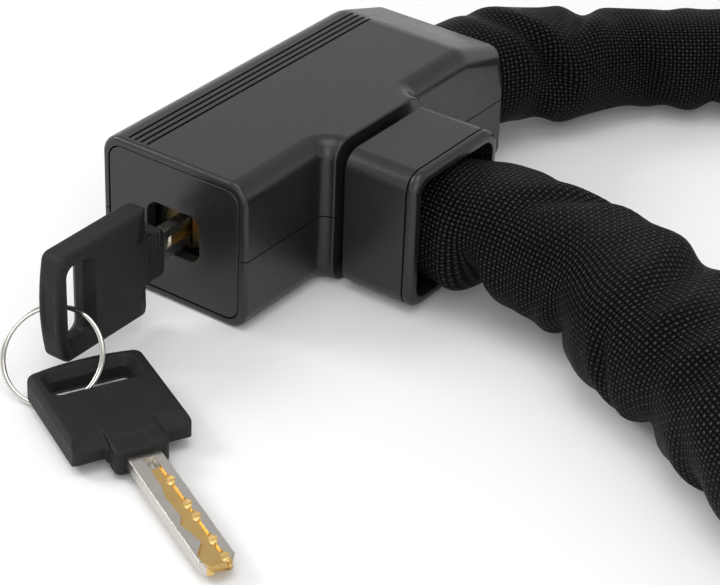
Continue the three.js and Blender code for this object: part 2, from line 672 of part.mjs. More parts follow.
// The links follow the sleeve's line at one pitch, every other one turned a quarter.
function makeChain() {
  const firstX = 56.6;
  const line = curve([[firstX, COLLAR_Y], ...ROUTE.slice(1), ...REAR_STUB]);
  line.arcLengthDivisions = 800;
  const pitch = line.getLength() / (LINK_COUNT - 1);
  const shape = linkGeometry();
  const up = new THREE.Vector3(0, 0, 1);
  let number = 0;
  for (let i = 0; i < LINK_COUNT; i += 1) {
    if (i === OPEN_LINK) continue;
    number += 1;
    const at = (i * pitch) / line.getLength();
    const place = line.getPointAt(Math.min(at, 1));
    const along = line.getTangentAt(Math.min(at, 1)).setZ(0).normalize();
    if (i === 0) along.set(1, 0, 0);
    if (i === LINK_COUNT - 1) along.set(0, -1, 0);
    const across = new THREE.Vector3().crossVectors(up, along);
    const link = addTo(lock, `chain_link_${String(number).padStart(2, "0")}`, shape.clone(), STEEL);
    const basis = new THREE.Matrix4();
    if (i % 2 === 0) basis.makeBasis(along, up, across.clone().negate());
    else basis.makeBasis(along, across, up);
    const drop = LINK_DROP * Math.min(i, LINK_COUNT - 1 - i, DROP_LINKS);
    link.position.set(place.x, place.y, AXIS_Z - drop);
    link.setRotationFromMatrix(basis);
  }
}

makeHousing();
makeCylinder();
makeBolt();
makeScrews();
makeCollar();
makeKeys();
makeSleeve();
makeChain();

export default lock;
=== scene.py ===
"""Chain lock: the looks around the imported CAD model. Metres, in the CAD model's own frame."""

import json
import math

import bmesh
import bpy
import numpy as np
from mathutils import Matrix, Vector


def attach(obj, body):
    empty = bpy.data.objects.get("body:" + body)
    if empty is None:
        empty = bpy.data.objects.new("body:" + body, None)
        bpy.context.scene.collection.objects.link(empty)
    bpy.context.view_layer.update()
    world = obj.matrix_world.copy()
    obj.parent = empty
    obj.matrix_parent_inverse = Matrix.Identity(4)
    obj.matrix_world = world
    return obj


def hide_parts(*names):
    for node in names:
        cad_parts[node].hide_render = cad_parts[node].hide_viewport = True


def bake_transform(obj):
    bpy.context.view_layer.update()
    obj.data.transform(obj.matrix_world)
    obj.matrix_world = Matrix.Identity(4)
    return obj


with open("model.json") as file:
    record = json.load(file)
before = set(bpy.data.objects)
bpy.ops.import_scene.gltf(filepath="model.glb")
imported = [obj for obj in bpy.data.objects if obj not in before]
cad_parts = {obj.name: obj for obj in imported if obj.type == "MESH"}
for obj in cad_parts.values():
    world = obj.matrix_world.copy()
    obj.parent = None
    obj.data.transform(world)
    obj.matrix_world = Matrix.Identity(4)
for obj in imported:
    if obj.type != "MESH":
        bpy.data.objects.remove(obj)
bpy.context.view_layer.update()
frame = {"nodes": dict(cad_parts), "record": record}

MM = 0.001
SEED = 7

# The chain's centre line on the bench, from the collar, round the loop, to the housing's rear.
ROUTE_MM = [
    (47, -6.3), (64, -6.3), (76, -6.8), (90, -9), (103, -13), (116, -19), (130, -27), (146, -36),
    (163, -44), (182, -50.5), (203, -54.5), (226, -55.5), (250, -52), (274, -44), (297, -31), (317, -13),
    (332, 9), (341, 34), (343, 61), (338, 88), (326, 114), (308, 137), (285, 155), (259, 168),
    (231, 177), (203, 179.5), (176, 177.5), (150, 170.5), (125, 160), (100, 147.5), (76, 134), (58, 123.5),
    (43.5, 113.5), (32.5, 103), (23.8, 91.5), (16.2, 79), (9.6, 66.5),
]
COLLAR_END_MM = (38, -6.3)  # inside the collar
REAR_END_MM = [(4.4, 56.5), (1.6, 48)]  # through the housing's rear opening
CHAIN_Z = 17.4 * MM
COLLAR_Z = 18.6 * MM


# ---------------------------------------------------------------- camera


def make_camera():
    """Looks down on the lock from its front right, as a long lens does."""
    yaw, pitch, roll = (math.radians(a) for a in (35.03, 31.81, 2.22))
    forward = Vector((-math.sin(yaw) * math.cos(pitch), math.cos(yaw) * math.cos(pitch), -math.sin(pitch)))
    level = Vector((math.cos(yaw), math.sin(yaw), 0))
    upright = level.cross(forward)
    right = math.cos(roll) * level + math.sin(roll) * upright
    up = math.cos(roll) * upright - math.sin(roll) * level
    data = bpy.data.cameras.new("camera")
    data.sensor_width = 36
    data.lens = 123.45
    camera = bpy.data.objects.new("camera", data)
    bpy.context.scene.collection.objects.link(camera)
    turn = Matrix((right, up, -forward)).transposed().to_4x4()
    camera.matrix_world = Matrix.Translation(Vector((315.77, -427.69, 307.52)) * MM) @ turn
    bpy.context.scene.camera = camera


# ---------------------------------------------------------------- materials


class Paint:
    """One procedural material: a Principled shader, and short calls that add nodes to it."""

    def __init__(self, name, **sockets):
        self.material = bpy.data.materials.new(name)
        self.material.use_nodes = True
        self.tree = self.material.node_tree
        self.shader = self.tree.nodes["Principled BSDF"]
        for socket, value in sockets.items():
            self.shader.inputs[socket.replace("_", " ")].default_value = value

    def node(self, kind, inputs=(), **settings):
        made = self.tree.nodes.new("ShaderNode" + kind)
        for key, value in settings.items():
            setattr(made, key, value)
        for place, value in dict(inputs).items():
            if isinstance(value, bpy.types.NodeSocket):
                self.tree.links.new(value, made.inputs[place])
            else:
                made.inputs[place].default_value = value
        return made

    def into(self, socket, value):
        self.tree.links.new(value, self.shader.inputs[socket])

    def place(self, kind="Object", stretch=(1, 1, 1)):
        """The surface's own coordinates, in metres, stretched along each axis."""
        source = self.node("TexCoord").outputs[kind]
        return self.node("Mapping", {"Vector": source, "Scale": stretch}).outputs["Vector"]

    def noise(self, where, scale, detail=3.0, roughness=0.5):
        inputs = {"Vector": where, "Scale": scale, "Detail": detail, "Roughness": roughness}
        return self.node("TexNoise", inputs).outputs["Fac"]

    def maths(self, operation, a, b=0.0):
        return self.node("Math", {0: a, 1: b}, operation=operation).outputs[0]

    def spread(self, value, low, high, start=0.0, end=1.0):
        """value, from start to end, turned into low to high."""
        inputs = {"Value": value, "From Min": start, "From Max": end, "To Min": low, "To Max": high}
        return self.node("MapRange", inputs).outputs["Result"]

    def mix(self, share, a, b):
        made = self.node("Mix", data_type="RGBA")
        for place, value in ((0, share), (6, a), (7, b)):
            if isinstance(value, bpy.types.NodeSocket):
                self.tree.links.new(value, made.inputs[place])
            else:
                made.inputs[place].default_value = value
        return made.outputs[2]

    def bump(self, height, depth, strength=1.0, under=None):
        inputs = {"Height": height, "Distance": depth, "Strength": strength}
        if under is not None:
            inputs["Normal"] = under
        return self.node("Bump", inputs).outputs["Normal"]


def grey(value):
    return (value, value, value, 1)


def moulded_plastic(name, base, low, high, grain_depth, grain_scale, gloss=0.5):
    """Black moulded plastic: a fine spark-eroded grain, soft wear in its gloss and a little dust."""
    paint = Paint(name, IOR=1.5, Specular_IOR_Level=gloss)
    where = paint.place()
    cloud = paint.noise(where, 60.0)
    smear = paint.noise(where, 420.0, 4.0, 0.65)
    paint.into("Base Color", paint.mix(cloud, grey(base * 0.8), grey(base * 1.3)))
    blotch = paint.maths("MULTIPLY", cloud, smear)
    paint.into("Roughness", paint.spread(blotch, low, high, 0.1, 0.45))
    grain = paint.noise(where, grain_scale, 2.0)
    pits = paint.node("TexVoronoi", {"Vector": where, "Scale": grain_scale * 0.8}).outputs["Distance"]
    texture = paint.maths("ADD", grain, pits)
    paint.into("Normal", paint.bump(texture, grain_depth))
    return paint.material


def brushed_metal(name, colour, low, high, stretch, depth=0.00001):
    """Metal with fine lines along its length and patches of duller finish."""
    paint = Paint(name, Metallic=1.0)
    lines = paint.noise(paint.place(stretch=stretch), 900.0, 2.0)
    patch = paint.noise(paint.place(), 180.0, 4.0, 0.6)
    dull = tuple(c * 0.8 for c in colour[:3]) + (1,)
    paint.into("Base Color", paint.mix(patch, dull, colour))
    both = paint.maths("MULTIPLY", lines, patch)
    paint.into("Roughness", paint.spread(both, low, high, 0.1, 0.45))
    paint.into("Normal", paint.bump(lines, depth, 0.5))
    return paint.material


WEAVE = 1.2 * MM
WEAVE_ROUND = 90  # yarns round the sleeve


def woven_nylon(name):
    """Coarse plain weave: a raised pillow where each yarn passes over, alternately along and across. The
    pillow tops are painted light as painted sheen, and the gaps between them near black as painted shade.
    """
    paint = Paint(name, Specular_IOR_Level=0.05)
    uv = paint.node("TexCoord").outputs["UV"]
    parts = paint.node("SeparateXYZ", {0: uv}).outputs
    along = paint.maths("SINE", paint.maths("MULTIPLY", parts[0], math.pi))
    around = paint.maths("SINE", paint.maths("MULTIPLY", parts[1], math.pi))
    signed = paint.maths("MULTIPLY", along, around)
    over = paint.maths("GREATER_THAN", signed, 0.0)
    pillow = paint.maths("POWER", paint.maths("ABSOLUTE", signed), 0.55)
    height = paint.maths("MULTIPLY", pillow, paint.spread(over, 0.72, 1.0))
    fibre = paint.noise(paint.place("UV", (1, 6, 1)), 1.7, 3.0)
    height = paint.maths("ADD", height, paint.maths("MULTIPLY", fibre, 0.25))
    sheen_and_gloss_patches = paint.noise(paint.place(), 90.0, 3.0)
    # Painted sheen: a light colour on each pillow's top, brighter where the yarn passes over, varying in
    # patches.
    painted_sheen = paint.maths("MULTIPLY", paint.maths("POWER", pillow, 4.5), paint.spread(sheen_and_gloss_patches, 0.3, 1.0))
    painted_sheen = paint.maths("MULTIPLY", painted_sheen, paint.spread(over, 0.45, 1.0))
    # Painted shade near black in the gaps between pillows, painted sheen on the pillow tops.
    paint.into("Base Color", paint.mix(painted_sheen, grey(0.0004), grey(0.07)))
    paint.into("Roughness", paint.spread(sheen_and_gloss_patches, 0.36, 0.6, 0.3, 0.7))
    paint.into("Normal", paint.bump(height, 0.0005))
    return paint.material


def make_materials():
    return {
        "housing_plastic": moulded_plastic("housing_plastic", 0.010, 0.25, 0.40, 0.000014, 2600.0),
        "key_plastic": moulded_plastic("key_plastic", 0.011, 0.5, 0.72, 0.00003, 2200.0, 0.24),
        "nickel_blade": brushed_metal("nickel_blade", (0.66, 0.63, 0.58, 1), 0.2, 0.4, (1, 8, 8)),
        # Painted shade: the CAD brass is darkened nearly to black to stand for the shade on the plug's face
        # deep in the front window.
        "brass": brushed_metal("brass", (0.12, 0.085, 0.04, 1), 0.3, 0.5, (1, 5, 1)),
        "blade_brass": brushed_metal("blade_brass", (0.78, 0.53, 0.2, 1), 0.24, 0.42, (1, 5, 1)),
        "ring_steel": brushed_metal("ring_steel", (0.74, 0.72, 0.68, 1), 0.1, 0.24, (1, 1, 8)),
        "works_steel": brushed_metal("works_steel", (0.12, 0.12, 0.12, 1), 0.25, 0.5, (1, 1, 6)),
        "chain_steel": brushed_metal("chain_steel", (0.45, 0.45, 0.46, 1), 0.3, 0.5, (2, 2, 2)),
        "woven_sleeve": woven_nylon("woven_sleeve"),
    }


# ---------------------------------------------------------------- mesh helpers


def new_piece(name, verts, faces, slot, smooth=True):
    mesh = bpy.data.meshes.new(name)
    mesh.from_pydata([tuple(v) for v in verts], [], faces)
    mesh.validate()
    if smooth:
        mesh.shade_smooth()
    else:
        mesh.shade_flat()
    piece = bpy.data.objects.new(name, mesh)
    bpy.context.scene.collection.objects.link(piece)
    mesh.materials.append(MATERIALS[slot])
    return piece


def face_outwards(mesh):
    """Turns every face of a closed mesh to look outwards."""
    work = bmesh.new()
    work.from_mesh(mesh)
    bmesh.ops.recalc_face_normals(work, faces=work.faces)
    work.to_mesh(mesh)
    work.free()


def apply_modifiers(piece):
    graph = bpy.context.evaluated_depsgraph_get()
    mesh = bpy.data.meshes.new_from_object(piece.evaluated_get(graph))
    piece.modifiers.clear()
    piece.data = mesh


def body_of(node):
    bodies = frame["record"]["behaviour"]["bodies"]
    return next(body for body, members in bodies.items() if node in members)


# ---------------------------------------------------------------- sleeve


def spline(points, per_span=24):
    """A Catmull-Rom curve through points, as an array of points."""
    p = np.array([points[0], *points, points[-1]], float)
    p[0] = 2 * p[1] - p[2]
    p[-1] = 2 * p[-2] - p[-3]
    t = np.linspace(0, 1, per_span, endpoint=False)[:, None]
    spans = []
    for a, b, c, d in zip(p, p[1:], p[2:], p[3:]):
        square, cube = 2 * a - 5 * b + 4 * c - d, 3 * b - 3 * c + d - a
        spans.append(0.5 * (2 * b + (c - a) * t + square * t**2 + cube * t**3))
    return np.vstack([*spans, p[-2]])


def even_steps(points, step):
    """The same line with its points a step apart, and the distance along it of each."""
    far = np.concatenate([[0], np.cumsum(np.linalg.norm(np.diff(points, axis=0), axis=1))])
    count = int(round(far[-1] / step)) + 1
    at = np.linspace(0, far[-1], count)
    return np.stack([np.interp(at, far, points[:, k]) for k in range(points.shape[1])], 1), at


def sleeve_line():
    points = [COLLAR_END_MM, *ROUTE_MM, *REAR_END_MM]
    return even_steps(spline(points) * MM, 1.25 * MM)


# How full the sleeve is: distance from its end, half width, half height, sideways shift, and height of
# its middle, in mm.
NEAR_FULLNESS = [
    (0, 13.2, 13.4, 0, 18.7), (9, 13.9, 14.5, 0.2, 18.7), (16, 17, 14.6, 1.5, 18.9),
    (24, 16.6, 13.6, 2, 19.8), (30, 16.8, 13.6, 2.2, 19.8), (37, 17.6, 14.4, 2.2, 19),
    (50, 17.4, 14.6, 2, 18.6), (64, 21, 15.8, 0.4, 16.8), (78, 20.4, 15.8, 0, 16.4),
    (92, 18.4, 15.2, 0, 15.9), (110, 18, 15.2, 0, 15.9),
]
FAR_FULLNESS = [
    (0, 12.4, 12.2, 0, 18.6), (9, 13.4, 13.2, 0, 18.6), (15, 15, 14.2, -0.6, 18.8),
    (22, 15.2, 14.4, -0.8, 18.6), (31, 15.2, 14.4, -0.4, 17), (38, 15.4, 14.4, 0, 15.8),
    (47, 13.8, 13.8, -0.8, 15.6), (56, 12, 12.6, -1, 14.8), (61, 11.8, 12.6, -1, 14.6),
    (66, 12, 12.8, 0, 14), (75, 13, 13, 0.6, 14.2), (88, 12.4, 13, 0, 14),
    (108, 15, 14, 0, 14.6), (130, 18, 15.2, 0, 15.8),
]
# The folds that show most: distance from the end, angle round in degrees, slant, width, reach round in
# radians, and depth. The others are in mm.
NEAR_FOLDS = [
    (22, -127, 3, 5.5, 0.9, 7.5), (27, -20, 6, 6.5, 1.1, 2.4), (50, -127, -3, 4.6, 0.9, 3.8),
    (46, 20, -10, 5.0, 1.5, 2.8), (68, 60, 9, 6.0, 1.2, 2.6), (86, -100, -6, 6.0, 1.3, 4.2),
    (100, 10, 8, 6.0, 1.4, 3.0), (118, -110, 4, 6.0, 1.0, 4.0),
]
FAR_FOLDS = [
    (28, 45, 8, 5.0, 1.0, 3.2), (33, -110, 4, 5.0, 0.9, 3.0), (44, 85, -7, 5.0, 1.0, 2.6),
    (84, -60, 4, 5.0, 1.0, 2.0),
]


def crease(at, angle, place, middle, slant, width, reach, depth):
    """One tuck across the cloth, between the two fuller lips that it pushes up."""
    turn = np.angle(np.exp(1j * (angle - middle)))
    q = (at - place - slant * turn) / width
    return -depth * (1 - 0.9 * q**2) * np.exp(-(q**2)) * np.exp(-((turn / reach) ** 2))


def folds(at, angle, length):
    """How far the loose cloth stands out or in, at each distance along and angle round."""
    chance = np.random.default_rng(SEED)
    pitch = 12 * MM
    out = np.zeros(np.broadcast(at, angle).shape)
    for k in range(int(length / pitch)):
        place = (k + chance.uniform(0.2, 0.8)) * pitch
        middle = chance.uniform(-math.pi, math.pi)
        slant, width = chance.uniform(-7, 7) * MM, chance.uniform(3.0, 6.0) * MM
        reach, depth = chance.uniform(0.5, 1.2), chance.uniform(0.6, 2.1) * MM
        out += crease(at, angle, place, middle, slant, width, reach, depth)
    for from_far, listed in ((False, NEAR_FOLDS), (True, FAR_FOLDS)):
        for place, middle, slant, width, reach, depth in listed:
            place = length - place * MM if from_far else place * MM
            out += crease(at, angle, place, math.radians(middle), slant * MM, width * MM, reach, depth * MM)
    return out


def fullness(at, length):
    """Half width, half height, sideways shift and middle at each distance, swaying from link to link."""
    near, far = np.array(NEAR_FULLNESS) * MM, np.array(FAR_FULLNESS) * MM
    link = 30 * MM
    sway = np.cos(math.pi * at / link)
    tall = 15.3 * MM - 0.7 * MM * sway
    usual = (18 * MM + 1.4 * MM * sway, tall, 0 * at, tall + 0.6 * MM)
    by_near = [np.interp(at, near[:, 0], near[:, k]) for k in (1, 2, 3, 4)]
    by_far = [np.interp(length - at, far[:, 0], far[:, k]) for k in (1, 2, 3, 4)]
    to_near = np.clip((near[-1, 0] - at) / (20 * MM), 0, 1)
    to_far = np.clip((far[-1, 0] - (length - at)) / (20 * MM), 0, 1)
    mixed = [u + (n - u) * to_near + (f - u) * to_far for u, n, f in zip(usual, by_near, by_far)]
    window = np.hanning(9) / np.hanning(9).sum()
    return [np.convolve(np.pad(m, 4, mode="edge"), window, mode="valid")[:, None] for m in mixed]


AROUND = 96  # points round the sleeve
SQUARENESS = 2.4  # of its section: 2 is an ellipse
UNDERSIDE = 0.5 * MM  # the lowest it comes, just above the bench


def smooth_start(distance, begin, over):
    """0 up to begin, then rising smoothly to 1."""
    t = np.clip((distance - begin) / over, 0, 1)
    return t**2 * (3 - 2 * t)


def sleeve_surface(line, at):
    """The sleeve's points, a ring of them at each place along its line."""
    length = at[-1]
    tangent = np.gradient(line, axis=0)
    tangent /= np.linalg.norm(tangent, axis=1)[:, None]
    side = np.stack([-tangent[:, 1], tangent[:, 0]], 1)
    angle = np.arange(AROUND) * 2 * math.pi / AROUND
    s = at[:, None]
    wide, tall, shift, height = fullness(at, length)
    ease = smooth_start(s, 6 * MM, 12 * MM) * smooth_start(length - s, 6 * MM, 16 * MM)
    stand = folds(s, angle[None, :], length) * ease
    c, n = np.cos(angle), np.sin(angle)
    square = (np.abs(c) ** SQUARENESS + np.abs(n) ** SQUARENESS) ** (-1 / SQUARENESS)
    out = (wide * square + stand) * c + shift
    rise = (tall * square + stand) * n
    middle = height * ease + COLLAR_Z * (1 - ease)
    z = np.maximum(middle + rise, UNDERSIDE)
    xy = line[:, None, :] + out[:, :, None] * side[:, None, :]
    return np.concatenate([xy, z[:, :, None]], 2).reshape(-1, 3)


def tube_faces(rows):
    """The faces between the rings, and one across each end."""
    faces = []
    for i in range(rows - 1):
        a, b = i * AROUND, (i + 1) * AROUND
        for j in range(AROUND):
            k = (j + 1) % AROUND
            faces.append((a + j, a + k, b + k, b + j))
    faces.append(tuple(range(AROUND))[::-1])
    faces.append(tuple((rows - 1) * AROUND + j for j in range(AROUND)))
    return faces


def lay_weave(sleeve, at):
    """Gives the sleeve a map counted in yarns, along and round, with its seam where the rings close."""
    uv = sleeve.data.uv_layers.new(name="weave")
    step = WEAVE_ROUND / AROUND
    coords = np.zeros((len(sleeve.data.loops), 2))
    for polygon in sleeve.data.polygons:
        columns = [v % AROUND for v in polygon.vertices]
        over_seam = max(polygon.vertices) % AROUND == AROUND - 1 and min(columns) == 0
        for loop in polygon.loop_indices:
            i, j = divmod(sleeve.data.loops[loop].vertex_index, AROUND)
            coords[loop] = at[i] / WEAVE, (AROUND if over_seam and j == 0 else j) * step
    uv.data.foreach_set("uv", coords.ravel())


def make_sleeve():
    """The woven tube over the chain: loose cloth that bellies out over each link and tucks in between."""
    line, at = sleeve_line()
    sleeve = new_piece("chain_sleeve", sleeve_surface(line, at), tube_faces(len(at)), "woven_sleeve")
    lay_weave(sleeve, at)
    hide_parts("sleeve_main", "sleeve_rear")
    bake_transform(sleeve)
    path = [(x, y, CHAIN_Z) for x, y in line[::8]]
    path[-1] = (*line[-1], CHAIN_Z)


# ---------------------------------------------------------------- moulded pieces from the CAD


def refine(node, edge, slot="housing_plastic"):
    """The CAD piece with its sharp edges rounded over and its roundings shaded smooth."""
    work = bmesh.new()
    work.from_mesh(frame["nodes"][node].data)
    bmesh.ops.remove_doubles(work, verts=work.verts, dist=0.02 * MM)
    bmesh.ops.dissolve_limit(work, angle_limit=math.radians(1), verts=work.verts, edges=work.edges)
    mesh = bpy.data.meshes.new(node + "_moulded")
    work.to_mesh(mesh)
    work.free()
    mesh.shade_smooth()
    mesh.materials.clear()
    mesh.materials.append(MATERIALS[slot])
    piece = bpy.data.objects.new(node + "_moulded", mesh)
    bpy.context.scene.collection.objects.link(piece)
    bevel = piece.modifiers.new("edges", "BEVEL")
    bevel.width = edge
    bevel.segments = 3
    bevel.limit_method = "ANGLE"
    bevel.angle_limit = math.radians(40)
    bevel.harden_normals = True
    piece.modifiers.new("normals", "WEIGHTED_NORMAL").keep_sharp = True
    apply_modifiers(piece)
    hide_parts(node)
    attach(piece, body_of(node))
    return piece


# ---------------------------------------------------------------- keys

BOW_W, BOW_T = 27.2, 6.8  # the keys' own millimetres: x along the key, y across, z through
BOW_FAR, BOW_NEAR = -14.5, 16.5
NECK_END = 21.5
NECK_W, NECK_T = 12.4, 6.0
BLADE_TIP = 60.9
BLADE_W, BLADE_T = 7.7, 3.0
SLOT_X, SLOT_W, SLOT_L = -7.3, 6, 18.4
FAR_BOW = 1.1  # how far the far end bows out
SHOULDER_DROP, SHOULDER_DEPTH = 2.6, 5.0  # of the slopes beside the neck
RIB_COUNT, RIB_FIRST, RIB_PITCH, RIB_W, RIB_L = 4, 15.9, 1.25, 0.55, 4.0
VOXEL = 0.26


def vertices_of(node):
    return np.array([v.co for v in frame["nodes"][node].data.vertices])


def key_frame(number):
    """The key's own frame, read from its CAD blade: where its bow's middle is, and which way it points."""
    blade = vertices_of(f"key_{number}_blade")
    bow = vertices_of(f"key_{number}_bow").mean(0)
    along = np.linalg.svd(blade - blade.mean(0))[2][0]
    along *= np.sign(along @ (blade.mean(0) - bow))
    reach = blade @ along
    ends = [blade[np.abs(reach - end) < 0.2 * MM].mean(0) for end in (reach.min(), reach.max())]
    x = Vector(ends[1] - ends[0]).normalized()
    z = Vector(np.linalg.svd(blade - blade.mean(0))[2][2])
    z = (z - z.dot(x) * x).normalized()
    z = z if z.z + z.x > 0 else -z
    origin = Vector(ends[1]) - x * BLADE_TIP * MM
    turn = Matrix((x, z.cross(x), z)).transposed().to_4x4()
    return Matrix.Translation(origin) @ turn @ Matrix.Scale(MM, 4)


def prism(outline, z0, z1, bevel=0.0, top=None):
    """A temporary solid in the key's own millimetres, its edges rounded. top is its upper outline."""
    count = len(outline)
    verts = [(x, y, z0) for x, y in outline] + [(x, y, z1) for x, y in top or outline]
    faces = [tuple(range(count))[::-1], tuple(range(count, 2 * count))]
    faces += [(k, (k + 1) % count, count + (k + 1) % count, count + k) for k in range(count)]
    mesh = bpy.data.meshes.new("prism")
    mesh.from_pydata(verts, [], faces)
    face_outwards(mesh)
    solid = bpy.data.objects.new("prism", mesh)
    bpy.context.scene.collection.objects.link(solid)
    if bevel:
        rounding = solid.modifiers.new("bevel", "BEVEL")
        rounding.width = bevel
        rounding.segments = 4
        rounding.limit_method = "ANGLE"
        rounding.angle_limit = math.radians(50)
        apply_modifiers(solid)
    return solid


def combine(base, others, operation):
    for other in others:
        cut = base.modifiers.new("combine", "BOOLEAN")
        cut.operation = operation
        cut.solver = "EXACT"
        cut.object = other
        apply_modifiers(base)
        bpy.data.objects.remove(other)


def rounded(width, height, radius, x=0.0, y=0.0, steps=6):
    """A rectangle with round corners, as a list of points."""
    points = []
    for quarter, (sx, sy) in enumerate(((1, 1), (-1, 1), (-1, -1), (1, -1))):
        for k in range(steps + 1):
            turn = math.pi / 2 * (quarter + k / steps)
            cx, cy = sx * (width / 2 - radius), sy * (height / 2 - radius)
            points.append((x + cx + radius * math.cos(turn), y + cy + radius * math.sin(turn)))
    return points


def bow_outline():
    """The bow seen flat: straight sides, a bowed far end and shoulders that lean back from the neck."""
    half, corner = BOW_W / 2, 2.6
    points = []
    for turn in np.linspace(-1, 1, 15):
        points.append((BOW_FAR + FAR_BOW * turn**2, -half * turn * (1 - corner / half)))
    far_x = BOW_FAR + FAR_BOW
    turns = [k * math.pi / 12 for k in range(1, 6)]
    arc = [(far_x + corner * (1 - math.cos(a)), half - corner + corner * math.sin(a)) for a in turns]
    near = 1.3
    shoulder = [(BOW_NEAR - near, half), (BOW_NEAR - 0.4, half - 0.4), (BOW_NEAR, half - near)]
    low = [(x, -y) for x, y in arc + shoulder]
    return points + low + shoulder[::-1] + arc[::-1]


def shoulder_cutter(side, face):
    """Slopes the end of the bow beside the neck, from a curved ridge on the face down to the edge."""
    start = NECK_W / 2 - 0.4
    ridge, foot = [], []
    for t in np.linspace(0, 1, 9):
        y = side * (start + t * (BOW_W / 2 + 1 - start))
        ridge.append((BOW_NEAR - SHOULDER_DEPTH + 2.2 * t**2, y, face * (BOW_T / 2 + 0.05)))
        foot.append((BOW_NEAR + 1.2, y, face * (BOW_T / 2 - SHOULDER_DROP)))
    top = [(BOW_NEAR + 1.2, y, face * (BOW_T / 2 + 1)) for _, y, _ in foot]
    ridge_top = [(x, y, face * (BOW_T / 2 + 1)) for x, y, _ in ridge]
    rows = [ridge, foot, top, ridge_top]
    count = len(ridge)
    verts = [v for row in rows for v in row]
    faces = []
    for r in range(4):
        a, b = r * count, ((r + 1) % 4) * count
        faces += [(a + k, a + k + 1, b + k + 1, b + k) for k in range(count - 1)]
    faces += [(0, count, 2 * count, 3 * count), tuple(r * count + count - 1 for r in (3, 2, 1, 0))]
    mesh = bpy.data.meshes.new("slope")
    mesh.from_pydata(verts, [], faces)
    face_outwards(mesh)
    solid = bpy.data.objects.new("slope", mesh)
    bpy.context.scene.collection.objects.link(solid)
    return solid


def make_bow(number):
    """A moulded bow: dished slot, sloped shoulders, stepped neck with grip ribs, all softly rounded."""
    bow = prism(bow_outline(), -BOW_T / 2, BOW_T / 2, 1.3)
    neck = prism(rounded(NECK_END - 11, NECK_W, 1.6, (NECK_END + 11) / 2), -NECK_T / 2, NECK_T / 2, 0.7)
    combine(bow, [neck], "UNION")
    cutters = [shoulder_cutter(side, face) for side in (1, -1) for face in (1, -1)]
    cutters.append(prism(rounded(SLOT_W, SLOT_L, 1.6, SLOT_X), -BOW_T, BOW_T))
    slot = rounded(SLOT_W + 0.4, SLOT_L + 0.4, 1.7, SLOT_X)
    flared = rounded(SLOT_W + 4.2, SLOT_L + 4.2, 2.65, SLOT_X)
    half, deep, over = BOW_T / 2, 1.9, 0.5
    cutters.append(prism(slot, half - deep, half + over, top=flared))
    cutters.append(prism(flared, -half - over, deep - half, top=slot))
    cutters.append(prism(rounded(2.4, BOW_W * 0.86, 1.1, BOW_FAR - 0.75), -1.7, 1.7))
    combine(bow, cutters, "DIFFERENCE")
    ribs = []
    for k in range(RIB_COUNT):
        x = RIB_FIRST + RIB_PITCH * k
        outline = rounded(RIB_W, RIB_L, 0.2, x, NECK_W / 2 - 1.7, 2)
        ribs.append(prism(outline, -NECK_T / 2 - 0.3, NECK_T / 2 + 0.3))
    combine(bow, ribs, "UNION")
    remesh = bow.modifiers.new("remesh", "REMESH")
    remesh.mode = "VOXEL"
    remesh.voxel_size = VOXEL
    remesh.use_smooth_shade = True
    soften = bow.modifiers.new("soften", "SMOOTH")
    soften.factor = 0.5
    soften.iterations = 3
    apply_modifiers(bow)
    name = f"key_{number}_grip"
    bow.name = name
    bow.data.name = name
    bow.data.transform(key_frame(number))
    bow.data.materials.clear()
    bow.data.materials.append(MATERIALS["key_plastic"])
    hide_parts(f"key_{number}_bow")
    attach(bow, f"key_{number}")


TRACK_DEPTH = 0.75
TRACK_START = 23.0
TRACK_LEFT = [  # where the milled track's wandering edge is: distance along the key, and across it
    (23, -1.0), (26, -0.8), (33, -0.9), (37, -1.7), (41, -1.4), (43.5, -1.2), (46.5, -2.5), (49, -1.6),
    (53, -0.9), (56.5, -3.2), (61, -3.3),
]
CUTS = (31.6, 40.2, 44.6, 52.8, 58.6)  # the milled dimples along the track's other edge
CUT_REACH = 1.9


